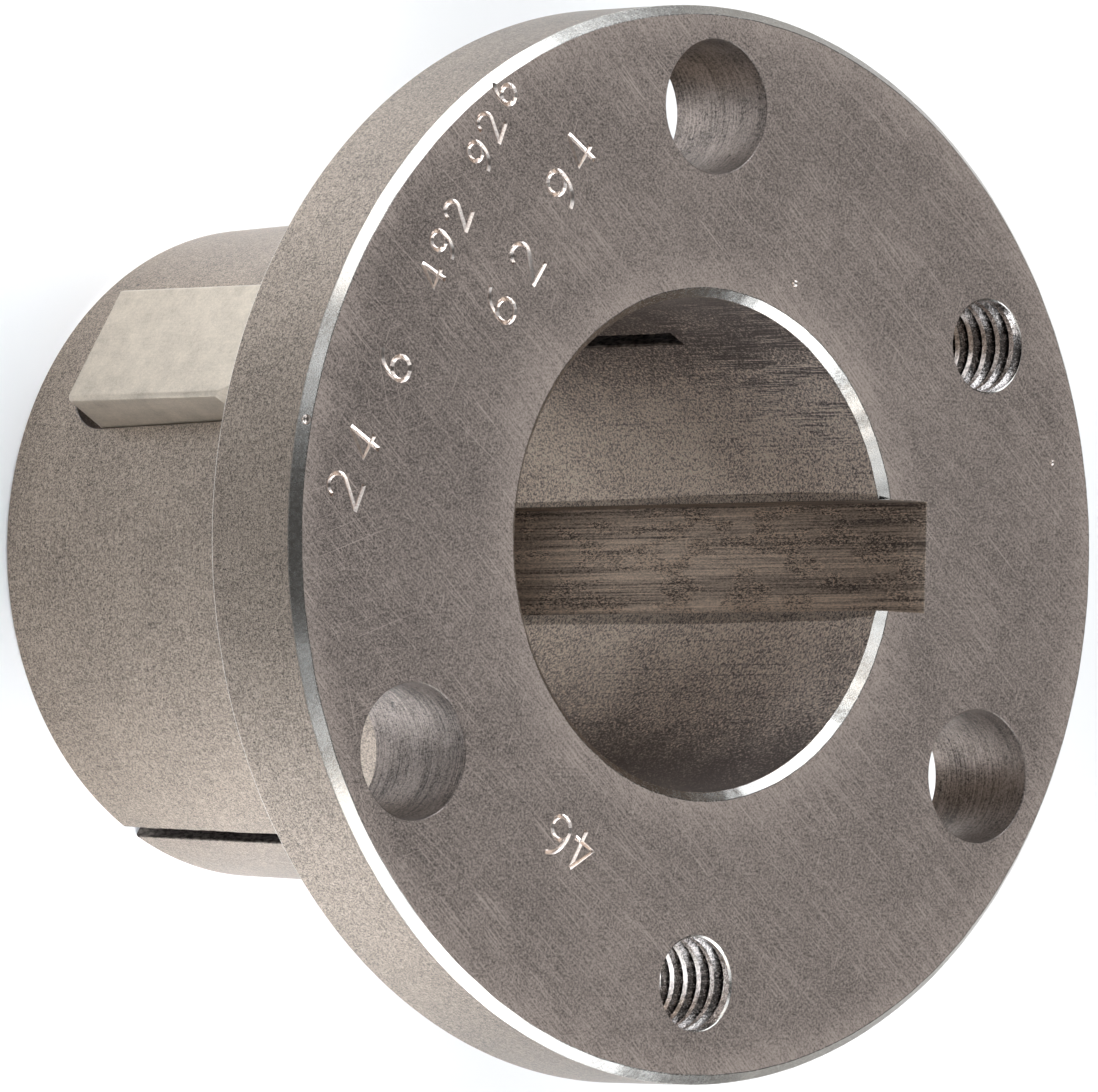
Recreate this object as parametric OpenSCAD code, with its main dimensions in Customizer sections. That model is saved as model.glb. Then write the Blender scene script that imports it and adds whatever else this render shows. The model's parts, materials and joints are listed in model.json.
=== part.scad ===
// Split taper bushing: a flanged steel sleeve that locks a shaft into a hub.
// Its barrel is tapered and sawn through from the small end, so that it closes on the
// shaft as the cap screws draw it into the hub, and a key in its side drives the hub.
// It stands on the small end of the barrel, with the flange on top.
// The origin is the centre of the small end, and +Z runs along the axis to the flange.
// Angles are counted from the shaft keyway, which lies on +X. Lengths are millimetres.

/* [Flange] */
// Outside diameter of the flange
flange_d = 76.2; // [72:0.1:90]
// Thickness of the flange
flange_t = 9.525; // [8:0.025:14]
// Chamfer round the front edge of the flange
front_chamfer = 0.6; // [0.2:0.05:1.5]
// Chamfer round the back edge of the flange
back_chamfer = 0.75; // [0.2:0.05:1.5]

/* [Barrel] */
// Length of the barrel, from its small end to the back of the flange
barrel_l = 39.6875; // [36:0.0625:60]
// Diameter of the barrel at its small end
barrel_small_d = 47.4; // [45:0.1:50]
// Growth of the barrel's diameter for each millimetre of its length
taper = 0.0625; // [0.02:0.0025:0.1]
// Fillet between the barrel and the back of the flange
root_fillet = 0.8; // [0.3:0.1:1.5]
// Chamfer round the outside of the small end
end_chamfer = 0.2; // [0.1:0.05:1]

/* [Shaft bore] */
// Diameter of the bore
bore_d = 34.925; // [25:0.025:35]
// Chamfer of the bore at the flange face
bore_front_chamfer = 0.65; // [0.2:0.05:1.5]
// Chamfer of the bore at the small end
bore_end_chamfer = 0.5; // [0.2:0.05:1.5]
// Width of the shaft keyway
keyway_w = 7.9375; // [5:0.0125:10]
// Depth of the shaft keyway, from the bore's crest to its floor
keyway_depth = 3.73; // [2:0.01:4.2]

/* [Saw cut] */
// Width of the saw cut through both walls of the barrel
slit_w = 1.4; // [1:0.1:2.5]
// Angle of the saw cut
slit_a = 61.3; // [50:0.1:75]
// Wall left between the saw cut and the flange, measured at the bore
slit_stop = 3.35; // [1:0.05:8]
// Diameter of the slitting saw, which leaves its round at the end of the cut
saw_d = 127; // [110:1:200]

/* [Screw holes] */
// Diameter of the circle on which all the screw holes lie
bolt_circle_d = 61.9125; // [60.5:0.0125:65]
// Number of cap screw holes, evenly spaced
screw_count = 3; // [3:1:4]
// Diameter of a cap screw hole
screw_hole_d = 9.525; // [6:0.025:10]
// Angle of the first cap screw hole
screw_a = 90; // [80:1:100]
// Diameter of a tapped hole inside its thread
tapped_hole_d = 6.6; // [5:0.1:8]
// Chamfer at each mouth of a tapped hole
tapped_chamfer = 0.17; // [0.1:0.01:0.6]

/* [Barrel key] */
// Width of the key
key_w = 9.525; // [6:0.025:11]
// Height of the key, from the floor of its seat to its top
key_h = 6.35; // [5:0.05:7.5]
// Length of the key
key_l = 19.05; // [14:0.05:22]
// Angle of the key
key_a = 149.3; // [140:0.1:155]
// Distance from the axis to the floor of the key's seat
seat_floor = 20.9; // [20.5:0.05:21.4]
// Distance from the small end to the nearer round end of the seat
seat_start = 4.4; // [3:0.1:6]
// Clearance between the key and each side of its seat
seat_clearance = 0.03; // [0.02:0.01:0.1]
// Length of the bevels on the key's flange end
bevel_l = 2.8; // [0.5:0.1:4]
// Depth of the bevels on the key's flange end
bevel_depth = 1.2; // [0.3:0.1:2.5]
// Break of the key's two long upper edges
key_edge = 0.25; // [0.1:0.05:0.8]

/* [Hidden] */
$fn = 128;

// How far a cutter runs past the face that it leaves
past = 1;

overall_l = barrel_l + flange_t;
flange_r = flange_d / 2;
bore_r = bore_d / 2;
saw_r = saw_d / 2;

// Radius gained for each millimetre up the barrel, and the barrel's two end radii
slope = taper / 2;
small_r = barrel_small_d / 2;
large_r = small_r + barrel_l * slope;

// Centre of the root fillet, which touches the tapered side and the flange's back
slant = sqrt(1 + slope * slope);
fillet_r = large_r - root_fillet * slope + root_fillet * slant;
fillet_z = barrel_l - root_fillet;

// Height of the saw's centre, where its rim meets the bore at the end of the cut
saw_z = barrel_l - slit_stop - sqrt(saw_r * saw_r - bore_r * bore_r);

// The seat's width, and the heights of the centres of its two round ends
seat_w = key_w + 2 * seat_clearance;
seat_low_z = seat_start + seat_w / 2;
seat_high_z = seat_low_z + key_l + 2 * seat_clearance;

// Outline of half the body, turned about the axis
module body_profile() {
    polygon([
        [0, 0],
        [small_r - end_chamfer, 0],
        [small_r + end_chamfer * slope, end_chamfer],
        [large_r, barrel_l],
        [flange_r - back_chamfer, barrel_l],
        [flange_r, barrel_l + back_chamfer],
        [flange_r, overall_l - front_chamfer],
        [flange_r - front_chamfer, overall_l],
        [0, overall_l]
    ]);
}

// Section of the fillet where the barrel runs into the flange
module fillet_profile() {
    difference() {
        polygon([
            [fillet_r - root_fillet / slant, fillet_z + root_fillet * slope / slant],
            [fillet_r, fillet_z],
            [fillet_r, barrel_l],
            [large_r, barrel_l]
        ]);
        translate([fillet_r, fillet_z]) circle(r = root_fillet);
    }
}

// A through hole of radius r from z = 0 to z = len, with a chamfer at each mouth
module chamfered_hole(r, len, low, high) {
    translate([0, 0, -past]) cylinder(r = r, h = len + 2 * past);
    translate([0, 0, -past]) cylinder(r1 = r + low + past, r2 = r, h = low + past);
    translate([0, 0, len - high]) cylinder(r1 = r, r2 = r + high + past, h = high + past);
}

// Keyway broached along the whole bore
module shaft_keyway() {
    translate([0, -keyway_w / 2, -past])
        cube([bore_r + keyway_depth, keyway_w, overall_l + 2 * past]);
}

// One pass of the slitting saw, up both walls of the barrel at once
module saw_cut() {
    rotate([0, 0, slit_a])
        translate([0, 0, saw_z])
            rotate([90, 0, 0])
                cylinder(r = saw_r, h = slit_w, center = true, $fn = 360);
}

// Cap screw holes, drilled through the flange
module screw_holes() {
    for (i = [0 : screw_count - 1])
        rotate([0, 0, screw_a + i * 360 / screw_count])
            translate([bolt_circle_d / 2, 0, barrel_l - past])
                cylinder(d = screw_hole_d, h = flange_t + 2 * past);
}

// Tapped holes for the jack screws that push the bushing out of its hub.
// Each is midway between two cap screw holes, and there is none over the barrel key.
module tapped_holes() {
    for (i = [1 : screw_count - 1])
        rotate([0, 0, screw_a + (i + 0.5) * 360 / screw_count])
            translate([bolt_circle_d / 2, 0, barrel_l])
                chamfered_hole(tapped_hole_d / 2, flange_t, tapped_chamfer, tapped_chamfer);
}

// Seat of the barrel key, milled with a cutter as wide as the seat, so its ends are round
module key_seat() {
    reach = large_r - seat_floor + past;
    rotate([0, 0, key_a])
        translate([seat_floor, 0, 0]) {
            for (z = [seat_low_z, seat_high_z])
                translate([0, 0, z]) rotate([0, 90, 0]) cylinder(d = seat_w, h = reach);
            translate([0, -seat_w / 2, seat_low_z])
                cube([reach, seat_w, seat_high_z - seat_low_z]);
        }
}

// Flange and tapered barrel, turned from one piece of steel
module bushing_body() {
    color([0.56, 0.53, 0.5])
        difference() {
            union() {
                rotate_extrude() body_profile();
                rotate_extrude() fillet_profile();
            }
            chamfered_hole(bore_r, overall_l, bore_end_chamfer, bore_front_chamfer);
            shaft_keyway();
            saw_cut();
            screw_holes();
            tapped_holes();
            key_seat();
        }
}

// Outline of the key as seen from outside the barrel: square below, bevelled above
module key_face() {
    half = key_w / 2;
    polygon([
        [-half, 0],
        [half, 0],
        [half, key_l - bevel_l],
        [half - bevel_depth, key_l],
        [bevel_depth - half, key_l],
        [-half, key_l - bevel_l]
    ]);
}

// Section across the key, from its seat outwards, with the long upper edges broken
module key_section() {
    half = key_w / 2;
    polygon([
        [0, -half],
        [key_h - key_edge, -half],
        [key_h, key_edge - half],
        [key_h, half - key_edge],
        [key_h - key_edge, half],
        [0, half]
    ]);
}

// Flat key that drives the hub. It rests on the floor of its seat, between the round ends.
module barrel_key() {
    color([0.74, 0.7, 0.63])
        rotate([0, 0, key_a])
            translate([seat_floor, 0, seat_low_z + seat_clearance])
                intersection() {
                    rotate([90, 0, 90]) linear_extrude(height = key_h) key_face();
                    linear_extrude(height = key_l) key_section();
                }
}

bushing_body();
barrel_key();
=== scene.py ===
# %% [markdown]
# # A split taper bushing, dressed for its portrait
# A taper bushing is one piece of turned steel: a flange, and a barrel with a slight
# taper that is sawn through, so that it closes on its shaft. A separate key sits in
# the barrel's side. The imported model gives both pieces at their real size. This
# script adds what a lathe, a broach, a tap, a saw and a set of stamps leave behind.

import json
import math
import random

import bmesh
import bpy
from mathutils import Matrix, Vector, noise

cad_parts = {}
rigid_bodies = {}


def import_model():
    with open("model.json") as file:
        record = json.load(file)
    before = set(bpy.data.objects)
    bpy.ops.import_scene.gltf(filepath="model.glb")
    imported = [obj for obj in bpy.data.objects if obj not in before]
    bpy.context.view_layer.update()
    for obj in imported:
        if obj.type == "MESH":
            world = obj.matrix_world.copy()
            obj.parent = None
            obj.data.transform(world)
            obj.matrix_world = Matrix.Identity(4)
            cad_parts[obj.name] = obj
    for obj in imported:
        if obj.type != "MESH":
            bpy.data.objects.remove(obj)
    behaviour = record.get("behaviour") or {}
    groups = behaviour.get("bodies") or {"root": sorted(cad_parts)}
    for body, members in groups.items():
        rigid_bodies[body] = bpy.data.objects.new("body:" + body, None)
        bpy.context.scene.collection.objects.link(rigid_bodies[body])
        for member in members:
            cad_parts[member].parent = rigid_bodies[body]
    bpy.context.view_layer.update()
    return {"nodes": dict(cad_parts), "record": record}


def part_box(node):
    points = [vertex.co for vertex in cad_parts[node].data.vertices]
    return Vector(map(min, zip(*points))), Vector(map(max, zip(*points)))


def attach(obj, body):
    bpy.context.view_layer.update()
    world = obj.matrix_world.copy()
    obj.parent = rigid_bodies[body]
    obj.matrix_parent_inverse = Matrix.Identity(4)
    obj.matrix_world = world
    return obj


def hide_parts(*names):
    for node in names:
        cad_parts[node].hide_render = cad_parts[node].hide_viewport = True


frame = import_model()
mm = 0.001
print("packed nodes:", sorted(frame["nodes"]))

# %% [markdown]
# The record that comes with the model names its mounts, so the bore, the bolt circle
# and the tapped holes don't have to be measured again. What the mounts don't say, such
# as the chamfers, is written here once, in millimetres.

# %% Driving sizes
mounts = {mount["name"]: mount for mount in frame["record"]["mounts"]}
body_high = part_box("bushing_body")[1]
top = body_high.z
flange_r = body_high.x
bore_r = mounts["shaft_bore"]["dims"]["r_mm"] * mm
bolt_circle_r = mounts["cap_screw_holes"]["dims"]["pcd_mm"] / 2 * mm
cap_hole_r = mounts["cap_screw_holes"]["dims"]["hole_r_mm"] * mm
tap_minor_r = mounts["jack_screw_hole_right"]["dims"]["r_mm"] * mm

flange_t = 9.525 * mm
back = top - flange_t
small_r = 23.7 * mm
slope = 1 / 32
root_r = small_r + back * slope
cap_hole_angles = [90, 210, 330]
tap_angles = [30, 270]
past = 1 * mm
snug = 0.001 * mm
print(f"flange {2 * flange_r / mm:.1f} mm, bore {2 * bore_r / mm:.3f} mm, length {top / mm:.2f} mm")


# %% [markdown]
# Four small helpers do what the pieces need. The first puts a bmesh into the scene as
# an object, and the second reads back the mesh that an object has once its modifiers
# are worked out. The third turns a shape about the axis. The last spins an outline of
# (radius, height) points round the axis, which is what a lathe does. A full spin merges
# its last step with its first, and the doubles on the axis are merged too, so nothing
# is left open.

# %% Objects and turned shapes
def to_object(name, shape):
    """Turns a finished bmesh into an object at the origin."""
    mesh = bpy.data.meshes.new(name)
    shape.to_mesh(mesh)
    shape.free()
    piece = bpy.data.objects.new(name, mesh)
    bpy.context.scene.collection.objects.link(piece)
    return piece


def worked_out(piece):
    """The mesh that an object has once its curve or its modifiers are worked out."""
    graph = bpy.context.evaluated_depsgraph_get()
    return bpy.data.meshes.new_from_object(piece.evaluated_get(graph))


def turn_shape(shape, angle):
    """Turns a whole bmesh about the Z axis."""
    turn = Matrix.Rotation(angle, 3, "Z")
    bmesh.ops.rotate(shape, cent=(0, 0, 0), matrix=turn, verts=shape.verts)


def spin_outline(outline, steps, closed=False):
    """A bmesh of the outline's (radius, height) points, spun once round the Z axis."""
    shape = bmesh.new()
    points = [shape.verts.new((radius, 0, height)) for radius, height in outline]
    pairs = list(zip(points, points[1:]))
    if closed:
        pairs.append((points[-1], points[0]))
    edges = [shape.edges.new(pair) for pair in pairs]
    bmesh.ops.spin(
        shape, geom=points + edges, cent=(0, 0, 0), axis=(0, 0, 1),
        angle=2 * math.pi, steps=steps, use_merge=True,
    )
    bmesh.ops.remove_doubles(shape, verts=shape.verts, dist=0.0001 * mm)
    bmesh.ops.recalc_face_normals(shape, faces=shape.faces)
    return shape


# %% [markdown]
# Each finish gets its own material further down. The meshes need to know which face is
# to get which finish long before that, so the materials are made now, still bare.

# %% Names of the finishes
FINISHES = [
    "turned", "ground", "filed", "bored", "broached", "drilled",
    "tapped", "sawn", "milled", "stamped", "painted_shade_corner",
]
steel = {finish: bpy.data.materials.new(finish + "_finish") for finish in FINISHES}
print("finishes:", len(steel))


def with_finish(piece, finish):
    """The whole piece gets one finish. The faces that a cutter leaves take it along."""
    piece.data.materials.append(steel[finish])
    return piece


# %% [markdown]
# ## The turned blank
# Flange and barrel are turned from one bar, so the blank is one outline spun round the
# axis. The fillet at the barrel's root is a run of points on an arc. The lathe leaves
# two wider chamfers on purpose, at the rims of the flange and of the bore.

# %% Outline of the blank
front_chamfer = 0.68 * mm
back_chamfer = 0.75 * mm
bore_mouth = 0.65 * mm
bore_end = 0.5 * mm
end_break = 0.2 * mm
fillet = 0.8 * mm
fillet_steps = 8
spin_steps = 360

lean = math.atan(slope)
fillet_x = root_r - fillet * slope + fillet / math.cos(lean)
fillet_z = back - fillet
fillet_arc = []
for step in range(fillet_steps + 1):
    angle = math.pi - lean - (math.pi / 2 - lean) * step / fillet_steps
    fillet_arc.append((fillet_x + fillet * math.cos(angle), fillet_z + fillet * math.sin(angle)))

outline = [
    ((bore_r + bore_end, 0), "turned"),
    ((small_r - end_break, 0), "filed"),
    ((small_r + end_break * slope, end_break), "turned"),
    *[(point, "turned") for point in fillet_arc],
    ((flange_r - back_chamfer, back), "filed"),
    ((flange_r, back + back_chamfer), "turned"),
    ((flange_r, top - front_chamfer), "filed"),
    ((flange_r - front_chamfer, top), "ground"),
    ((bore_r + bore_mouth, top), "filed"),
    ((bore_r, top - bore_mouth), "bored"),
    ((bore_r, bore_end), "filed"),
]
blank = spin_outline([point for point, finish in outline], spin_steps, closed=True)
print("blank:", len(blank.faces), "faces,", round(blank.calc_volume() / mm**3), "cubic mm")


# %% [markdown]
# A face of the blank belongs to the stretch of the outline that is nearest to it. Then
# the corners are broken: a bevel of a few hundredths of a millimetre is less than a
# pixel wide in the portrait, but it catches the light. It takes the filed finish.

# %% Finishes and broken corners of the blank
def distance_to(stretch, place):
    """Distance of a (radius, height) place from a stretch of the outline."""
    start, end = Vector(stretch[0]), Vector(stretch[1])
    share = (place - start).dot(end - start) / (end - start).length_squared
    return (place - start.lerp(end, max(0, min(1, share)))).length


stretches = []
for index, (point, finish) in enumerate(outline):
    stretches.append((point, outline[(index + 1) % len(outline)][0], finish))
for face in blank.faces:
    middle = face.calc_center_median()
    place = Vector((middle.xy.length / math.cos(math.pi / spin_steps), middle.z))
    nearest = min(stretches, key=lambda stretch: distance_to(stretch, place))
    face.material_index = FINISHES.index(nearest[2])

corner_break = 0.035 * mm
corner_angle = math.radians(30)
corners = [edge for edge in blank.edges if edge.calc_face_angle(0) > corner_angle]
bmesh.ops.bevel(
    blank, geom=corners, offset=corner_break, offset_type="OFFSET", affect="EDGES",
    segments=1, profile=0.5, material=FINISHES.index("filed"), clamp_overlap=True,
)
print("blank after its corners were broken:", len(blank.faces), "faces")

# %% [markdown]
# A chamfer that is touched up by hand is never quite even. The edges of the two wide
# chamfers on the face wander by a few hundredths: where a chamfer meets the flat face,
# its points move in and out, and where it meets a straight wall, they move up and down.
# The drift only depends on the angle, so the fine corner faces keep their own tilt.

# %% Uneven chamfer rims
wander = 0.05 * mm
wander_length = 2.2 * mm
elsewhere = Vector((0, 0, 9))
reach = 2 * corner_break
for vert in blank.verts:
    radius = vert.co.xy.length
    on_chamfer = radius < bore_r + bore_mouth + reach or radius > flange_r - front_chamfer - reach
    if on_chamfer and vert.co.z > top - bore_mouth - reach:
        spot = Vector((vert.co.x, vert.co.y, 0)).normalized() * flange_r / wander_length
        if vert.co.z > top - reach:
            vert.co.xy = vert.co.xy * (1 + noise.noise(spot) * wander / radius)
        else:
            vert.co.z += noise.noise(spot + elsewhere) * wander
body = to_object("bushing_steel", blank)
for finish in FINISHES:
    with_finish(body, finish)
print(f"rims wander by up to {wander / mm:.2f} mm")


# %% [markdown]
# ## Plain holes
# The cap screws pass through three drilled holes. Each cutter is an outline spun round
# its own axis and then moved to its place on the bolt circle. It flares at both ends,
# so the hole comes out with a small break at each mouth.

# %% Cutters for the cap screw holes
drill_steps = 120
hole_break = 0.07 * mm


def on_bolt_circle(shape, degrees):
    """Moves a cutter from the axis to its angle on the bolt circle."""
    turn = Matrix.Rotation(math.radians(degrees), 4, "Z")
    move = turn @ Matrix.Translation((bolt_circle_r, 0, 0))
    bmesh.ops.transform(shape, matrix=move, verts=shape.verts)
    return shape


cutters = []


def add_cutter(name, shape, finish):
    """Keeps a closed shape for the Boolean, with the finish that it leaves."""
    cutters.append(with_finish(to_object(name, shape), finish))


for degrees in cap_hole_angles:
    drill = spin_outline([
        (0, back - past),
        (cap_hole_r + hole_break + past, back - past),
        (cap_hole_r, back + hole_break),
        (cap_hole_r, top - hole_break),
        (cap_hole_r + hole_break + past, top + past),
        (0, top + past),
    ], drill_steps)
    add_cutter(f"drill_{degrees}", on_bolt_circle(drill, degrees), "drilled")
print("plain holes at", cap_hole_angles, "degrees")


# %% [markdown]
# ## Tapped holes
# A thread is what a spin makes when it also climbs: the outline of one pitch, turned
# many times round while it rises by one pitch a turn. The top of each turn meets the
# bottom of the next and is merged with it. The two open ends are drawn together to a
# point outside the flange, so the cutter is a closed solid.

# %% Cutter for a right-hand thread with 18 turns to the inch
pitch = 25.4 / 18 * mm
tap_major_r = 3.97 * mm
tap_steps = 60
tap_turns = 10
tap_start = back - 1.7 * pitch
flank = (tap_major_r - tap_minor_r) * math.tan(math.radians(30))
root_flat = pitch / 8


def thread_cutter():
    """A screw of one outline, spun and raised, with both ends drawn to a point."""
    shape = bmesh.new()
    profile = [
        (tap_minor_r, 0),
        (tap_major_r, flank),
        (tap_major_r, flank + root_flat),
        (tap_minor_r, 2 * flank + root_flat),
        (tap_minor_r, pitch),
    ]
    points = [shape.verts.new((radius, 0, tap_start + height)) for radius, height in profile]
    edges = [shape.edges.new(pair) for pair in zip(points, points[1:])]
    bmesh.ops.spin(
        shape, geom=points + edges, cent=(0, 0, 0), axis=(0, 0, 1), dvec=(0, 0, pitch / tap_steps),
        angle=2 * math.pi * tap_turns, steps=tap_steps * tap_turns,
    )
    bmesh.ops.remove_doubles(shape, verts=shape.verts, dist=0.0001 * mm)
    middle = tap_start + pitch * (tap_turns + 1) / 2
    for low in (True, False):
        ends = [edge for edge in shape.edges if edge.is_boundary]
        rim = [edge for edge in ends if (edge.verts[0].co.z < middle) == low]
        made = bmesh.ops.extrude_edge_only(shape, edges=rim)["geom"]
        tips = [part for part in made if isinstance(part, bmesh.types.BMVert)]
        tip_z = tap_start + pitch * (0.5 if low else tap_turns + 0.5)
        bmesh.ops.pointmerge(shape, verts=tips, merge_co=(0, 0, tip_z))
    bmesh.ops.recalc_face_normals(shape, faces=shape.faces)
    return shape


print(f"thread: pitch {pitch / mm:.3f} mm, {(tap_major_r - tap_minor_r) / mm:.2f} mm deep")

# %% [markdown]
# In the photograph the mouths of the tapped holes are clean rings, and the first groove
# starts just below them. So the groove fades out towards each face of the flange: its
# points move in to the minor radius. A short countersink then breaks each mouth.

# %% Cutters for the tapped holes
fade_start = 0.05 * mm
fade_end = 0.45 * mm
tap_mouth = 0.13 * mm

for degrees in tap_angles:
    tap = thread_cutter()
    for vert in tap.verts:
        radius = vert.co.xy.length
        inside = min(vert.co.z - back, top - vert.co.z)
        share = max(0, min(1, (inside - fade_start) / (fade_end - fade_start)))
        if radius > tap_minor_r + snug:
            vert.co.xy *= (tap_minor_r + (radius - tap_minor_r) * share) / radius
    add_cutter(f"tap_{degrees}", on_bolt_circle(tap, degrees), "tapped")
    for side, face_z in ((-1, back), (1, top)):
        sink = spin_outline([
            (0, face_z - side * 3 * tap_mouth),
            (tap_minor_r - 2 * tap_mouth, face_z - side * 3 * tap_mouth),
            (tap_minor_r + tap_mouth + past, face_z + side * past),
            (0, face_z + side * past),
        ], drill_steps)
        add_cutter(f"sink_{degrees}_{side}", on_bolt_circle(sink, degrees), "filed")
print("tapped holes at", tap_angles, "degrees")


# %% [markdown]
# ## Shaft keyway
# The keyway is broached along the whole bore, so its cutter is a bar, cut into slices
# so that its ends can flare. The corners where it meets the bore were then filed, more
# heavily on one side. Two slim bars turned on their corner take those edges off, and
# each slice of them is moved a little, because a file's path is never straight.

# %% Cutters for the keyway and its filed corners
keyway_half = 3.97 * mm
keyway_floor = 21.1925 * mm
keyway_mouth = 0.06 * mm


def sliced_bar(low, high, levels):
    """A box between two corners, cut into slices at the given heights."""
    shape = bmesh.new()
    low, high = Vector(low), Vector(high)
    bmesh.ops.create_cube(shape, size=1)
    bmesh.ops.scale(shape, vec=high - low, verts=shape.verts)
    bmesh.ops.translate(shape, vec=(low + high) / 2, verts=shape.verts)
    for level in levels:
        everything = shape.verts[:] + shape.edges[:] + shape.faces[:]
        bmesh.ops.bisect_plane(shape, geom=everything, plane_co=(0, 0, level), plane_no=(0, 0, 1))
    return shape


broach = sliced_bar(
    (bore_r / 2, -keyway_half, -past), (keyway_floor, keyway_half, top + past),
    [keyway_mouth, top - keyway_mouth],
)
for vert in broach.verts:
    if vert.co.z < 0 or vert.co.z > top:
        vert.co.y += math.copysign(past + keyway_mouth, vert.co.y)
        if vert.co.x > bore_r:
            vert.co.x += past + keyway_mouth
add_cutter("broach", broach, "broached")


def follow(track, height):
    """Reads a value off a track of (height, value) points, with straight lines between."""
    for (low_z, low_value), (high_z, high_value) in zip(track, track[1:]):
        if height <= high_z:
            share = max(0, (height - low_z) / (high_z - low_z))
            return low_value + (high_value - low_value) * share
    return track[-1][1]


corner_turn = math.asin(keyway_half / bore_r)
corner_x = bore_r * math.cos(corner_turn)
file_slice = 0.9 * mm
file_jitter = 0.035 * mm
file_wave = 1.3 * mm
file_depths = {
    1: [(0, 0.2 * mm), (20 * mm, 0.28 * mm), (40 * mm, 0.42 * mm), (top, 0.24 * mm)],
    -1: [(0, 0.42 * mm), (30 * mm, 0.5 * mm), (45 * mm, 0.42 * mm), (top, 0.2 * mm)],
}
for side, track in file_depths.items():
    slices = [file_slice * step for step in range(int(top / file_slice) + 1)]
    bar = sliced_bar((-past, -past, -past), (0, past, top + past), slices)
    into_steel = Vector((1 - math.sin(corner_turn), side * math.cos(corner_turn), 0)).normalized()
    across = into_steel.cross((0, 0, 1))
    for vert in bar.verts:
        spot = Vector((vert.co.y / past, side * 7, vert.co.z / file_wave))
        depth = follow(track, vert.co.z) + noise.noise(spot) * file_jitter
        corner = Vector((corner_x, side * keyway_half, vert.co.z))
        vert.co = corner + into_steel * (vert.co.x + depth) + across * vert.co.y
    bmesh.ops.recalc_face_normals(bar, faces=bar.faces)
    # The filed corners of the keyway get a nearly black colour that is painted shade.
    add_cutter(f"file_{side}", bar, "painted_shade_corner")
print("keyway", 2 * keyway_half / mm, "mm wide, filed along both corners")

# %% [markdown]
# ## Saw cut
# A slitting saw goes up through both walls of the barrel at once and stops short of the
# flange, so the end of the cut is a piece of the saw's rim. Each wall gets its own
# cutter, made from a grid: its columns are radii, its rows are heights up to the rim,
# and its two faces are pushed about, because a saw leaves a ragged slot. It is wider by
# a hair where it breaks out of the bore and the barrel, and that rim catches the light.

# %% Cutters for the saw cut
saw_half = 0.7 * mm
saw_angle = math.radians(61.3)
saw_r = 63.5 * mm
saw_stop = back - 3.35 * mm
saw_z = saw_stop - math.sqrt(saw_r**2 - bore_r**2)
saw_rows = 110
saw_flare = 0.09 * mm
saw_flare_wave = 0.6 * mm
saw_rim = 0.05 * mm
saw_waves = [(0.9 * mm, 0.05 * mm), (3.1 * mm, 0.06 * mm)]
saw_columns = [("bore", offset * mm) for offset in (-2, 0, 0.12, 1, 2, 3, 4, 5)]
saw_columns += [("barrel", offset * mm) for offset in (-0.9, -0.12, 0, 1.5)]


def saw_column_radius(column, height):
    """The radius of a column of the saw's grid, counted from the bore or from the barrel."""
    surface, offset = saw_columns[column]
    return offset + (bore_r if surface == "bore" else small_r + slope * height)


for turn in (0, 180):
    saw = bmesh.new()
    bmesh.ops.create_grid(saw, x_segments=len(saw_columns) - 1, y_segments=saw_rows, size=0.5)
    for vert in saw.verts:
        column = round((vert.co.x + 0.5) * (len(saw_columns) - 1))
        share = vert.co.y + 0.5
        radius = saw_column_radius(column, share * saw_stop)
        rim_z = saw_z + math.sqrt(saw_r**2 - radius**2)
        vert.co = (radius, -1, -past + share * (rim_z + past))
    made = bmesh.ops.extrude_face_region(saw, geom=saw.faces[:])["geom"]
    for part in made:
        if isinstance(part, bmesh.types.BMVert):
            part.co.y = 1
    for vert in saw.verts:
        side = vert.co.y
        barrel_r = small_r + slope * vert.co.z
        open_edge = vert.co.x < bore_r + saw_rim or vert.co.x > barrel_r - saw_rim
        spot = Vector((vert.co.x, (9 * side + turn) * mm, vert.co.z))
        rough = sum(depth * noise.noise(spot / length) for length, depth in saw_waves)
        flare = saw_flare * (1 + noise.noise(spot / saw_flare_wave)) if open_edge else 0
        vert.co.y = side * (saw_half + flare + rough)
    turn_shape(saw, saw_angle + math.radians(turn))
    bmesh.ops.recalc_face_normals(saw, faces=saw.faces)
    add_cutter(f"saw_{turn}", saw, "sawn")
print(f"saw cut: {2 * saw_half / mm:.1f} mm, stops {(top - saw_stop) / mm:.2f} mm below the face")

# %% [markdown]
# ## Seat of the barrel key
# The seat is milled with a cutter as wide as the seat, so both its ends are half rounds.
# The cutter starts as a circle whose upper half is moved up and whose lower half is
# moved down. It is extruded out to just below the barrel's curved side and from there
# flared, so the rim of the seat is broken all the way round.

# %% Cutter for the key's seat
key_angle = math.radians(149.3)
seat_floor = 20.9 * mm
seat_half = 4.7925 * mm
seat_low = 9.1925 * mm
seat_high = 28.3025 * mm
seat_break = 0.08 * mm
seat_segments = 96

seat = bmesh.new()
bmesh.ops.create_circle(seat, cap_ends=True, segments=seat_segments, radius=seat_half)
turn_shape(seat, math.pi / seat_segments)
for vert in seat.verts:
    middle = seat_high if vert.co.y > 0 else seat_low
    vert.co = (seat_floor, vert.co.x, middle + vert.co.y)
rim = seat.faces[:]
for offset, grow in ((-seat_break, 0), (past, past + seat_break)):
    made = bmesh.ops.extrude_face_region(seat, geom=rim)["geom"]
    if grow:
        bmesh.ops.delete(seat, geom=rim, context="FACES_ONLY")
    rim = [part for part in made if isinstance(part, bmesh.types.BMFace)]
    for vert in {vert for face in rim for vert in face.verts}:
        height = max(seat_low, min(seat_high, vert.co.z))
        outward = Vector((0, vert.co.y, vert.co.z - height)).normalized()
        surface = math.sqrt((small_r + slope * vert.co.z) ** 2 - vert.co.y**2)
        vert.co = Vector((surface + offset, vert.co.y, vert.co.z)) + outward * grow
turn_shape(seat, key_angle)
bmesh.ops.recalc_face_normals(seat, faces=seat.faces)
add_cutter("seat", seat, "milled")
seat_length = seat_high - seat_low + 2 * seat_half
print(f"seat: {2 * seat_half / mm:.2f} mm wide, {seat_length / mm:.2f} mm long")

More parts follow.
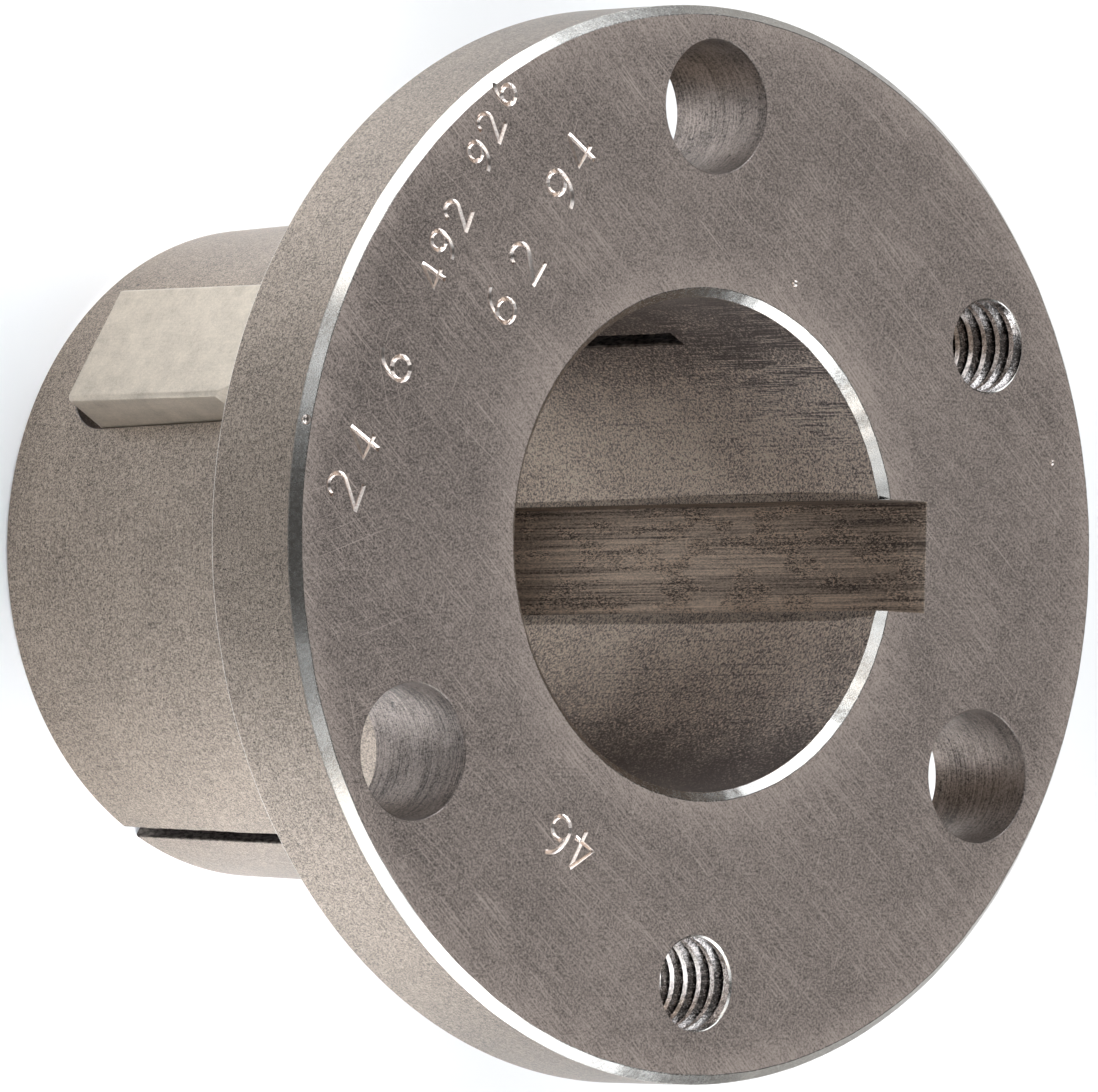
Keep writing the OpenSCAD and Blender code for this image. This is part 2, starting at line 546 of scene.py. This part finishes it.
# %% [markdown]
# ## Stamped numbers
# Sizes are struck into such a face one digit at a time, so no two digits stand quite
# level. The numbers here are plain made-up ones. Each stroke of a digit is a curve of
# points with a square section that stands on its corner. Sunk to half its height in the
# face, it leaves the narrow V groove of a stamp, and two of its sides catch the light.

# %% Strokes of the digits, in a box one high
def bow(middle, across, up, start, end, steps=14):
    """Points of an arc round a middle, from one angle to another in degrees."""
    x, y = middle
    angles = [math.radians(start + (end - start) * step / steps) for step in range(steps + 1)]
    return [(x + across * math.cos(angle), y + up * math.sin(angle)) for angle in angles]


ring = bow((0, 0.29), 0.28, 0.28, 180, 540)
tail = bow((0.27, 0.29), 0.55, 0.7, 180, 95, steps=8)
DIGITS = {
    "2": [bow((0, 0.72), 0.28, 0.28, 170, -35) + [(-0.3, 0)], [(-0.34, 0), (0.34, 0)]],
    "4": [[(0.12, 0), (0.12, 1)], [(0.12, 1), (-0.3, 0.3), (0.33, 0.3)]],
    "6": [ring, tail],
    "9": [[(-x, 1 - y) for x, y in stroke] for stroke in (ring, tail)],
}
stroke_half = 0.19 * mm


def strike(digit, place, height, reading, sink=0.0):
    """Adds the cutters of one digit. Reading is the direction of its line of writing."""
    turn = math.radians(reading)
    along = Vector((math.cos(turn), math.sin(turn)))
    upward = Vector((-math.sin(turn), math.cos(turn)))
    for stroke in DIGITS[digit]:
        curve = bpy.data.curves.new("stroke", "CURVE")
        curve.dimensions = "3D"
        curve.bevel_depth = stroke_half
        curve.bevel_resolution = 0
        curve.use_fill_caps = True
        closed = (Vector(stroke[0]) - Vector(stroke[-1])).length < 0.01
        points = stroke[:-1] if closed else stroke
        spline = curve.splines.new("POLY")
        spline.use_cyclic_u = closed
        spline.points.add(len(points) - 1)
        for point, (x, y) in zip(spline.points, points):
            spot = Vector(place) * mm + along * x * height + upward * y * height
            point.co = (spot.x, spot.y, top - sink, 1)
        drawn = bpy.data.objects.new("stroke", curve)
        bpy.context.scene.collection.objects.link(drawn)
        mesh = worked_out(drawn)
        shape = bmesh.new()
        shape.from_mesh(mesh)
        bmesh.ops.remove_doubles(shape, verts=shape.verts, dist=0.001 * mm)
        bmesh.ops.recalc_face_normals(shape, faces=shape.faces)
        bpy.data.objects.remove(drawn)
        bpy.data.meshes.remove(mesh)
        add_cutter("stroke", shape, "stamped")


print("digits that can be struck:", " ".join(DIGITS))

# %% [markdown]
# The first two lines of writing slant across the face beside the bore, and a short one
# stands below it. A stamp is set by eye, so each digit leans a few degrees and is a
# little off its line. The last digits of a long line were struck with a smaller set.
# A line has a start in millimetres, a direction in degrees, and its digits, each with
# its distance along the line.

# %% Three lines of numbers
chance = random.Random(5)
tall, small, small_from = 3.0 * mm, 2.4 * mm, 16
off_line, off_level = 0.12, 5
shallow, deep = -0.02, 0.03
LINES = [
    ((-32.3, 1.7), 64.7, [(0, "2"), (3.4, "4"), (9.8, "6"), (17, "4"), (19.4, "9"), (21.9, "2"),
                          (26.4, "9"), (28.9, "2"), (31.4, "6")]),
    ((-18.45, 14.9), 58.0, [(0, "6"), (3.9, "2"), (10.2, "9"), (13.2, "4")]),
    ((-10.4, -20.7), 152.0, [(0, "4"), (2.6, "6")]),
]
for start, reading, digits in LINES:
    for distance, digit in digits:
        turn = math.radians(reading)
        spot = (
            start[0] + distance * math.cos(turn) + chance.uniform(-off_line, off_line),
            start[1] + distance * math.sin(turn) + chance.uniform(-off_line, off_line),
        )
        leaning = reading + chance.uniform(-off_level, off_level)
        height = tall if distance < small_from else small
        strike(digit, spot, height, leaning, chance.uniform(shallow, deep) * mm)
print("strokes:", sum(cutter.name.startswith("stroke") for cutter in cutters))

# %% [markdown]
# The bushing took a few knocks: one on the edge of the rim, two small ones on the face.
# A little ball that is sunk into the steel leaves each dent. Each has a place, a radius
# and the depth of its middle below the face, in millimetres.

# %% Knocks
KNOCKS = [((-37.2, 7.0), 0.42, 0.1), ((7.9, 18.9), 0.3, -0.14), ((33.5, 7.4), 0.24, -0.1)]
for number, ((x, y), radius, sink) in enumerate(KNOCKS):
    knock = bmesh.new()
    bmesh.ops.create_icosphere(knock, subdivisions=3, radius=radius * mm)
    bmesh.ops.translate(knock, vec=(x * mm, y * mm, top - sink * mm), verts=knock.verts)
    add_cutter(f"knock_{number}", knock, "stamped")
print("knocks:", len(KNOCKS))

# %% [markdown]
# ## Cutting
# All cutters are taken from the blank in one Boolean. The manifold solver does this in
# a fraction of a second because every cutter is closed, and it hands each cutter's
# finish to the faces that it leaves. Then the curved faces are shaded smooth, and every
# edge sharper than 15 degrees is marked so that it stays crisp.

# %% The finished body
shop = bpy.data.collections.new("cutters")
bpy.context.scene.collection.children.link(shop)
for cutter in cutters:
    shop.objects.link(cutter)
cut = body.modifiers.new("cut", "BOOLEAN")
cut.operation = "DIFFERENCE"
cut.operand_type = "COLLECTION"
cut.collection = shop
cut.solver = "MANIFOLD"
cut.material_mode = "TRANSFER"
finished = worked_out(body)
body.modifiers.clear()
body.data = finished
for cutter in cutters:
    bpy.data.objects.remove(cutter)
bpy.data.collections.remove(shop)

sharp_angle = math.radians(15)
finished.shade_smooth()
finished.set_sharp_from_angle(angle=sharp_angle)
checked = bmesh.new()
checked.from_mesh(finished)
open_edges = sum(not edge.is_manifold for edge in checked.edges)
print(f"body: {len(checked.faces)} faces, {open_edges} open edges")
print(f"volume: {checked.calc_volume() / mm**3:.0f} cubic mm")
print("finishes in use:", [material.name for material in finished.materials])
checked.free()

# %% [markdown]
# ## The barrel key
# The key is a bar of ground key steel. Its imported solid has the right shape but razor
# edges. A copy of that solid, merged first, gets a fine bevel along every edge.

# %% The key
key_break = 0.09 * mm
key_shape = bmesh.new()
key_shape.from_mesh(frame["nodes"]["barrel_key"].data)
bmesh.ops.remove_doubles(key_shape, verts=key_shape.verts, dist=0.001 * mm)
bmesh.ops.dissolve_limit(
    key_shape, angle_limit=math.radians(1), verts=key_shape.verts, edges=key_shape.edges,
)
key_edges = [edge for edge in key_shape.edges if edge.calc_face_angle(0) > corner_angle]
bmesh.ops.bevel(
    key_shape, geom=key_edges, offset=key_break, offset_type="OFFSET", affect="EDGES",
    segments=2, profile=0.5, material=-1, clamp_overlap=True,
)
open_edges = sum(not edge.is_manifold for edge in key_shape.edges)
print(f"key: {len(key_shape.faces)} faces, {open_edges} open edges")
key = to_object("key_bar", key_shape)
key_steel = bpy.data.materials.new("key_steel_bar")
key.data.materials.clear()
key.data.materials.append(key_steel)
key.data.shade_smooth()
key.data.set_sharp_from_angle(angle=sharp_angle)

# %% [markdown]
# ## Shader maths
# Materials are written as expressions. A Wire is one output of a node. Adding wires or
# multiplying them adds a Math node, and every other node comes from one method, which
# takes a node's type, its settings and the values or wires of its sockets.

# %% A small language for materials
class Wire:
    """One output of a material's node tree, with arithmetic."""

    def __init__(self, tree, socket=None):
        self.tree = tree
        self.socket = socket

    def node(self, kind, settings=None, sockets=None, output=0):
        """Adds a node: its settings first, then the values or wires of its sockets."""
        made = self.tree.nodes.new(kind)
        for name, value in (settings or {}).items():
            setattr(made, name, value)
        for name, value in (sockets or {}).items():
            if isinstance(value, Wire):
                self.tree.links.new(value.socket, made.inputs[name])
            else:
                made.inputs[name].default_value = value
        return Wire(self.tree, made.outputs[output] if made.outputs else None)

    def math(self, operation, first, second=0.0):
        """A Math node on numbers or wires."""
        return self.node("ShaderNodeMath", {"operation": operation}, {0: first, 1: second})

    def __add__(self, other):
        return self.math("ADD", self, other)

    def __sub__(self, other):
        return self.math("SUBTRACT", self, other)

    def __rsub__(self, other):
        return self.math("SUBTRACT", other, self)

    def __mul__(self, other):
        return self.math("MULTIPLY", self, other)

    __radd__ = __add__
    __rmul__ = __mul__

    def between(self, low, high):
        """0 where the wire is at low, 1 where it is at high, and a soft step between."""
        return self.node(
            "ShaderNodeMapRange", {"interpolation_type": "SMOOTHSTEP"},
            {"Value": self, "From Min": low, "From Max": high},
        )

    def blend(self, first, second):
        """A colour: the first where the wire is 0, the second where it is 1."""
        # A Mix node's sockets 0, 6 and 7 are its factor and its two colours.
        sockets = {0: self, 6: first, 7: second}
        return self.node("ShaderNodeMix", {"data_type": "RGBA"}, sockets, output=2)

    def turned(self, axis, degrees):
        """The wire's vector, turned about an axis through the origin."""
        return self.node(
            "ShaderNodeVectorRotate", {"rotation_type": axis + "_AXIS"},
            {"Vector": self, "Angle": math.radians(degrees)},
        )

    def part(self, axis):
        """One coordinate of the wire's vector."""
        return self.node("ShaderNodeSeparateXYZ", None, {0: self}, output=axis)

    def grain(self, size, stretch=(1, 1, 1), detail=2.0, roughness=0.5):
        """Noise over the wire's place. Its grains are this wide, and longer where stretched."""
        scaled = self.node(
            "ShaderNodeVectorMath", {"operation": "MULTIPLY"},
            {0: self, 1: [1 / (size * factor) for factor in stretch]},
        )
        return self.node(
            "ShaderNodeTexNoise", None,
            {"Vector": scaled, "Scale": 1.0, "Detail": detail, "Roughness": roughness},
        )


# %% [markdown]
# Every steel is dressed in the same way: a share between 0 and 1 blends a dark colour
# with a light one, the roughness may vary, and a height in millimetres makes the relief.
# The colours are those of bare steel under a little oil and dust, so they are darker
# and browner than clean metal. Where that film is thicker, the steel is less metallic.

# %% Dressing a material
def open_material(material):
    """Empties a material and returns the wire of its object coordinates."""
    material.use_nodes = True
    material.node_tree.nodes.clear()
    return Wire(material.node_tree).node("ShaderNodeTexCoord", output="Object")


def dress(place, colour, roughness, height, depth, metallic=1.0):
    """Ends a material in a metal shader with this colour, roughness and relief."""
    relief = place.node("ShaderNodeBump", None, {
        "Height": height, "Strength": 1.0, "Distance": depth,
    })
    shader = place.node("ShaderNodeBsdfPrincipled", None, {
        "Base Color": colour, "Metallic": metallic, "Roughness": roughness, "Normal": relief,
    })
    place.node("ShaderNodeOutputMaterial", None, {"Surface": shader})
    print(f"{len(place.tree.nodes)} nodes, relief {depth / mm:.3f} mm deep")


def grey(value, red=0.2, blue=0.11):
    """A steel colour: a grey, with this much more red and this much less blue."""
    return (value * (1 + red), value, value * (1 - blue), 1)


def mottle(place, *layers):
    """A share about one half: a sum of grains, each with its size in mm and its weight."""
    share = 0.5 - sum(weight for size, weight in layers) / 2
    for size, weight in layers:
        share = place.grain(size * mm, detail=1.0) * weight + share
    return share


# %% [markdown]
# ## Turned steel
# The rim of the flange and the barrel have a fine dry speckle, light and dark, with
# small dark pits. The lathe's feed marks are there too, as faint rings: noise that is
# stretched so far across X and Y that it only changes with height.

# %% The turned finish
place = open_material(steel["turned"])
fine = mottle(place, (0.07, 2.0), (0.17, 1.3))
speckle = fine + mottle(place, (0.5, 0.35), (6, 0.2)) - 0.5
pits = place.grain(0.3 * mm, detail=1.0).between(0.3, 0.22)
feed = place.grain(0.2 * mm, stretch=(900, 900, 1), detail=2.0, roughness=0.7) - 0.5
share = speckle + feed * 0.3 - pits * 0.3
colour = share.blend(grey(0.04, 0.24, 0.18), grey(0.42, 0.23, 0.19))
dress(place, colour, fine * 0.1 + 0.33, fine + feed, 0.004 * mm, metallic=0.8)

# %% [markdown]
# ## Ground face
# The face was ground and has been handled since. Its grain is a mottle of one and two
# tenths of a millimetre. Over it lie hairline scratches, mostly one way: noise that is
# narrow across a direction and long along it, of which only the peaks are kept. They
# are denser round the bore, where a shaft was pushed in, and along the rim. The side at
# negative X, where the numbers are, is darker and has scuffs in two other directions.

# %% Scratches
def scratches(place, degrees, width, length, rare):
    """Hairlines along a direction on the face. The rarer, the fewer peaks are kept."""
    lines = place.turned("Z", -degrees).grain(width, stretch=(length / width, 1, 1), detail=0.0)
    return lines.between(rare, rare + 0.1)


def radius_of(place):
    """Distance from the bushing's axis."""
    kind = "ShaderNodeVectorMath"
    across = place.node(kind, {"operation": "MULTIPLY"}, {0: place, 1: (1, 1, 0)})
    return place.node(kind, {"operation": "LENGTH"}, {0: across}, output="Value")


# %% The ground finish
place = open_material(steel["ground"])
radius = radius_of(place)
fine = mottle(place, (0.075, 1.8), (0.19, 1.3))
worn = fine + mottle(place, (0.7, 0.35), (8, 0.25)) - 0.5
halo = radius.between(22 * mm, 17.5 * mm) + radius.between(34.5 * mm, 38 * mm)
hairlines = scratches(place, -42, 0.06 * mm, 6 * mm, 0.69)
hairlines += scratches(place, -35, 0.05 * mm, 14 * mm, 0.71)
hairlines += scratches(place, 70, 0.06 * mm, 3 * mm, 0.73)
# The face is darker towards negative X, with scuffs in two more directions there.
dark_scuffed_side = place.part(0).between(-14 * mm, -33 * mm)
scuffs = scratches(place, 20, 0.07 * mm, 9 * mm, 0.72)
scuffs += scratches(place, -75, 0.07 * mm, 7 * mm, 0.73)
dense = scratches(place, -46, 0.05 * mm, 2.5 * mm, 0.52) * halo
rubbed = place.grain(5 * mm, detail=1.0).between(0.5, 0.62)
dense += scratches(place, -44, 0.06 * mm, 5 * mm, 0.58) * rubbed
marks = hairlines * 0.6 + dense * 0.35 + (scuffs * 0.7 - 0.12) * dark_scuffed_side
share = worn + marks + halo * 0.15 - 0.05
colour = share.blend(grey(0.06, 0.18, 0.08), grey(0.42, 0.18, 0.1))
dress(place, colour, fine * 0.1 + 0.33, fine - hairlines * 0.6, 0.004 * mm, metallic=0.82)

# %% [markdown]
# ## Filed edges
# Chamfers and broken corners are the brightest steel, because a file or a burr knife
# has just been over them. They are smoother than the rest, with chatter across them.

# %% The filed finish
place = open_material(steel["filed"])
chatter = mottle(place, (0.09, 0.8), (0.3, 0.8))
colour = chatter.blend(grey(0.6, 0.12, 0.12), grey(0.96, 0.03, 0.06))
dress(place, colour, chatter * 0.1 + 0.21, chatter, 0.003 * mm)

# %% [markdown]
# ## Bore
# The bore is browner and duller, with a slanting grain that a hone left. Here and there
# a shaft's burr has scored a thin dark line along it. Its two sides are darkened with
# painted shade, the one at negative Y the most. On the other side the shaft dragged grit
# in: a patch of light and dark lines, thickest at the mouth.

# %% The bored finish
place = open_material(steel["bored"])
hone = place.turned("X", 38).grain(0.1 * mm, stretch=(1, 1, 4), detail=2.0, roughness=0.6) - 0.5
fine = mottle(place, (0.08, 2.6), (0.2, 2.2)) + hone * 2.0
dull = fine + (place.grain(4 * mm, detail=1.0) - 0.5) * 0.6
scores = place.grain(0.16 * mm, stretch=(1, 1, 90), detail=0.0).between(0.76, 0.82)
# Painted shade: the bore's two sides are darkened, the one at negative Y the most.
bore_painted_shade = place.math("ABSOLUTE", place.part(1)).between(10.5 * mm, 16 * mm)
bore_painted_shade = bore_painted_shade * 0.65 + place.part(1).between(-3 * mm, -13 * mm) * 0.22
dragged = place.grain(0.09 * mm, stretch=(1, 1, 70), detail=2.0, roughness=0.75)
patch = place.part(2).between(top - 19 * mm, top - 4 * mm)
patch = patch * place.part(1).between(6.5 * mm, 9.5 * mm)
patch = patch * place.grain(1.6 * mm, stretch=(1, 1, 3), detail=1.0).between(0.4, 0.56)
drag = (dragged.between(0.54, 0.62) * 0.9 - dragged.between(0.5, 0.4) * 0.9 - 0.12) * patch
share = dull - scores * 0.35 + drag - bore_painted_shade + 0.17
colour = share.blend(grey(0.12, 0.2, 0.06), grey(0.95, 0.19, 0.14))
dress(place, colour, fine * 0.08 + 0.34, fine - scores, 0.006 * mm, metallic=0.45)

# %% [markdown]
# ## Keyway
# A broach tears steel in long straight streaks. Along them its teeth leave patches of
# light and dark specks where chips were pulled out. Towards the flange the keyway is a
# little darker, a painted shadow.

# %% The broached finish
place = open_material(steel["broached"])
streaks = place.grain(0.14 * mm, stretch=(1, 1, 90), detail=3.0, roughness=0.65) - 0.5
torn = place.grain(0.09 * mm, stretch=(1, 1, 2.5), detail=2.0, roughness=0.7) - 0.5
bands = place.grain(0.8 * mm, stretch=(1, 1, 60), detail=1.0) - 0.5
chipped = place.grain(1.2 * mm, stretch=(1, 1, 3), detail=1.0).between(0.45, 0.62)
cut_marks = streaks * 1.9 + bands * 1.2 + torn * (chipped * 3.2 + 1.5)
# Painted shadow: the keyway darkens towards the flange.
painted_shadow = place.part(2).between(top - 20 * mm, top - 4 * mm)
share = cut_marks - painted_shadow * 0.12 + 0.52
colour = share.blend(grey(0.08, 0.24, 0.12), grey(0.78, 0.22, 0.18))
dress(place, colour, streaks * 0.2 + 0.38, cut_marks, 0.01 * mm, metallic=0.5)

# %% [markdown]
# ## Drilled and tapped holes
# A drill leaves fine rings and a few torn dark dots. In the tapped holes the grooves are
# darkened with painted shade: the steel darkens with its distance from the hole's
# own axis, whichever of the two holes is nearer.

# %% The drilled finish
place = open_material(steel["drilled"])
rings = place.grain(0.12 * mm, stretch=(60, 60, 1), detail=3.0, roughness=0.65) - 0.5
dots = place.grain(0.35 * mm, detail=1.0).between(0.31, 0.25)
patchy = mottle(place, (0.08, 1.8), (0.2, 1.0), (2.5, 0.8))
share = patchy + rings * 1.6 - dots * 0.5
colour = share.blend(grey(0.04, 0.22, 0.13), grey(0.39, 0.2, 0.12))
dress(place, colour, rings * 0.3 + 0.4, rings + patchy * 0.5 - dots * 2, 0.01 * mm, metallic=0.65)

# %% The tapped finish
place = open_material(steel["tapped"])
depths = []
for degrees in tap_angles:
    turn = math.radians(degrees)
    centre = (bolt_circle_r * math.cos(turn), bolt_circle_r * math.sin(turn), 0)
    moved = place.node("ShaderNodeVectorMath", {"operation": "SUBTRACT"}, {0: place, 1: centre})
    depths.append(radius_of(moved))
# Painted shade: the thread's grooves darken towards their roots.
groove_painted_shade = place.math("MINIMUM", *depths).between(3.45 * mm, 3.9 * mm)
torn = mottle(place, (0.09, 1.6), (0.3, 1.4))
share = torn + 0.25 - groove_painted_shade * 0.95
colour = share.blend(grey(0.02, 0.14, 0.08), grey(0.85, 0.1, 0.06))
dress(place, colour, torn * 0.16 + 0.14, torn, 0.012 * mm, metallic=0.95)

# %% [markdown]
# ## Sawn, milled and stamped steel, and the keyway's shaded corners
# The walls of the saw cut are the roughest, scored along the saw's path. The seat of the
# key is finer. The stamped grooves are squeezed bright, and the filed corners of the
# keyway are painted nearly black, a painted shade.

# %% The sawn, milled and stamped finishes, and the painted shade of the keyway's corners
for finish, size, dark, light, rough, depth in (
    ("sawn", 0.2, 0.05, 0.2, 0.5, 0.02),
    ("milled", 0.15, 0.1, 0.3, 0.4, 0.008),
    ("stamped", 0.1, 0.6, 0.95, 0.28, 0.003),
    # The keyway's filed corners: nearly black, a painted shade.
    ("painted_shade_corner", 0.14, 0.015, 0.12, 0.5, 0.012),
):
    place = open_material(steel[finish])
    worked = place.grain(size * mm, stretch=(1, 1, 3), detail=3.0, roughness=0.65)
    colour = worked.between(0.35, 0.65).blend(grey(dark, 0.16, 0.1), grey(light, 0.16, 0.1))
    dress(place, colour, rough, worked, depth * mm)

# %% [markdown]
# ## Key steel
# The key is cold drawn and ground, pale and warm, with a few faint smudges of grease.
# Its top was rubbed along its length.

# %% The key's finish
place = open_material(key_steel)
fine = mottle(place, (0.08, 0.6), (0.25, 0.4), (1.5, 0.5))
smudge = place.grain(2.4 * mm, detail=2.0, roughness=0.6).between(0.52, 0.72)
rubbed = place.grain(0.1 * mm, stretch=(1, 1, 40), detail=1.0) - 0.5
share = fine + rubbed * 0.15 - smudge * 0.12 + 0.06
colour = share.blend(grey(0.26, 0.15, 0.18), grey(0.61, 0.15, 0.18))
dress(place, colour, fine * 0.08 + 0.33, fine + rubbed * 0.2, 0.002 * mm, metallic=0.88)

# %% [markdown]
# ## Studio
# The bushing stands on a wide pale floor. Metal shows what it mirrors, so each light
# hangs where a surface mirrors it towards the camera. Two large softboxes far off make
# the flange's face pale. Small ones round the rim light the chamfers. Others hang low
# over the floor, and the rim and the barrel mirror the pools of light below them. The
# ones that make the brightest streaks on the rim are a little cooler than the rest. Two
# wide ones shine straight down on the floor at the sides. A last small one lies inside
# the bushing and lights the bore. No light shows to the camera. Most come in pairs, left
# and right of the camera, each with its own radiance.

# %% Floor and lights
floor_shape = bmesh.new()
bmesh.ops.create_grid(floor_shape, x_segments=1, y_segments=1, size=6)
floor = to_object("studio_floor", floor_shape)
floor_paint = bpy.data.materials.new("floor_paint")
floor.data.materials.append(floor_paint)
place = open_material(floor_paint)
cloud = place.grain(0.4)
shader = place.node("ShaderNodeBsdfPrincipled", None, {
    "Base Color": cloud.blend((0.91, 0.91, 0.91, 1), (0.93, 0.93, 0.93, 1)), "Roughness": 0.9,
})
place.node("ShaderNodeOutputMaterial", None, {"Surface": shader})


def softbox(name, place, target, size, radiance, spread=180, colour=(1, 1, 1)):
    """A square light that faces its target and doesn't show to the camera."""
    lamp = bpy.data.lights.new(name, "AREA")
    lamp.shape = "SQUARE"
    lamp.size = size
    lamp.energy = radiance * math.pi * size**2
    lamp.color = colour
    lamp.spread = math.radians(spread)
    box = bpy.data.objects.new(name, lamp)
    box.location = place
    box.rotation_mode = "QUATERNION"
    box.rotation_quaternion = (Vector(target) - Vector(place)).to_track_quat("-Z", "Y")
    box.visible_camera = False
    bpy.context.scene.collection.objects.link(box)


heart = (0, 0, 0.03)
flange_middle = (0, 0, 0.045)
softbox("sky_high", (0.424, 0, 0.708), heart, 0.5, 1.12)
softbox("sky_low", (0.678, 0, 0.454), heart, 0.42, 0.24)
softbox("table", (0, 0, 0.0006), (0, 0, 1), 0.022, 0.6)
# Name, place, target, size, spread, and the radiance at positive and at negative Y.
PAIRS = [
    ("card", (-0.1, 0.15, 0.16), (-0.03, 0, 0.16), 0.075, 180, (1.8, 2.2)),
    ("rim_front", (0.065, 0.179, 0.111), flange_middle, 0.07, 180, (2.8, 3.0)),
    ("rim_side", (-0.017, 0.19, 0.111), flange_middle, 0.07, 180, (4.2, 5.2)),
    ("rim_back", (-0.095, 0.165, 0.111), flange_middle, 0.07, 180, (1.3, 0.3)),
    ("rim_high", (-0.122, 0.085, 0.183), flange_middle, 0.07, 180, (1.3, 1.0)),
    ("rim_top", (0.019, 0.138, 0.193), flange_middle, 0.07, 180, (3.0, 2.5)),
    ("pool_near", (-0.02, 0.085, 0.045), (-0.02, 0.085, 0), 0.035, 180, (4.8, 6.5)),
    ("pool_far", (-0.05, 0.06, 0.036), (-0.05, 0.06, 0), 0.035, 180, (5.6, 8.6)),
    ("pool_right", (0.07, 0.045, 0.045), (0.07, 0.045, 0), 0.035, 180, (5.0, 5.0)),
    ("pool_foot", (-0.01, 0.06, 0.03), (-0.01, 0.03, 0), 0.02, 80, (2.2, 3.0)),
    ("far_left", (-0.35, 0.35, 0.45), (-0.35, 0.35, 0), 0.3, 80, (1.0, 1.0)),
    ("far_right", (0.35, 0.35, 0.45), (0.35, 0.35, 0), 0.3, 80, (1.0, 1.0)),
]
cool = (0.93, 1, 1.08)
for name, place, target, size, spread, radiances in PAIRS:
    colour = cool if name.startswith(("rim", "pool_far")) else (1, 1, 1)
    for side, radiance in zip((1, -1), radiances):
        mirrored = [(x, side * y, z) for x, y, z in (place, target)]
        softbox(f"{name}_{side}", *mirrored, size, radiance, spread, colour)

world = bpy.data.worlds.new("studio_air")
bpy.context.scene.world = world
world.use_nodes = True
sky = world.node_tree.nodes["Background"]
sky.inputs["Color"].default_value = (0.9, 0.9, 0.9, 1)
sky.inputs["Strength"].default_value = 0.05
bpy.context.scene.view_settings.view_transform = "Standard"
print("lights:", len(bpy.data.lights))

# %% [markdown]
# ## Camera
# The photographer stood well back with a long lens and looked down at 42 degrees off
# the flange's normal. Place, turn and focal length were fitted to the circles in the
# photograph, so the portrait has the same perspective.

# %% Camera
lens = bpy.data.cameras.new("portrait")
lens.sensor_width = 36
lens.lens = 417.2514
lens.clip_start = 0.05
lens.clip_end = 20
camera = bpy.data.objects.new("portrait", lens)
to_right = Vector((0.74893941, 0.02440586, 0.66218888))
backward = Vector((-0.66117655, -0.03882109, 0.74922526))
camera.rotation_mode = "QUATERNION"
axes = Matrix((to_right, backward.cross(to_right), backward)).transposed()
camera.rotation_quaternion = axes.to_quaternion()
camera.location = Vector((-601.68935, -35.21712, 665.06518)) * mm + Vector((0, 0, top))
bpy.context.scene.collection.objects.link(camera)
bpy.context.scene.camera = camera
print(f"camera: {lens.lens:.0f} mm lens, {camera.location.length:.2f} m away")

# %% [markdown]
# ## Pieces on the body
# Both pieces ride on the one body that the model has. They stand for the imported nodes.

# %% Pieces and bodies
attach(body, "root")
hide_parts("bushing_body")
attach(key, "root")
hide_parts("barrel_key")
